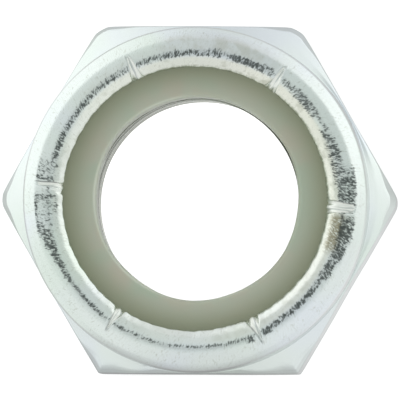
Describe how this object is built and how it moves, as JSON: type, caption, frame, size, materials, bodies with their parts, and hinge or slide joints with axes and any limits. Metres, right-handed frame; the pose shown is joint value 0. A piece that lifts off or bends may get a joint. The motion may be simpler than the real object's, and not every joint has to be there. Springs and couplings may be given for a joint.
{
  "type": "nylon insert lock nut",
  "caption": "Hexagonal steel lock nut with a rolled and staked collar that holds a nylon locking ring above the thread.",
  "frame": {"origin": "centre of the thread on the bearing face", "axes": "+Z along the thread, from the bearing face to the collar; +X towards a corner of the hexagon; +Y square to a flat"},
  "size_m": [0.0268, 0.0238, 0.0191],
  "materials": {
    "zinc_plated_steel": "bright zinc plating, faintly tinted, with fine crazing on the rolled lip",
    "nylon": "natural nylon, off-white with a grey-green cast, satin"
  },
  "bodies": {
    "root": {"nut_body": "zinc_plated_steel", "nylon_insert": "nylon"}
  },
  "joints": []
}
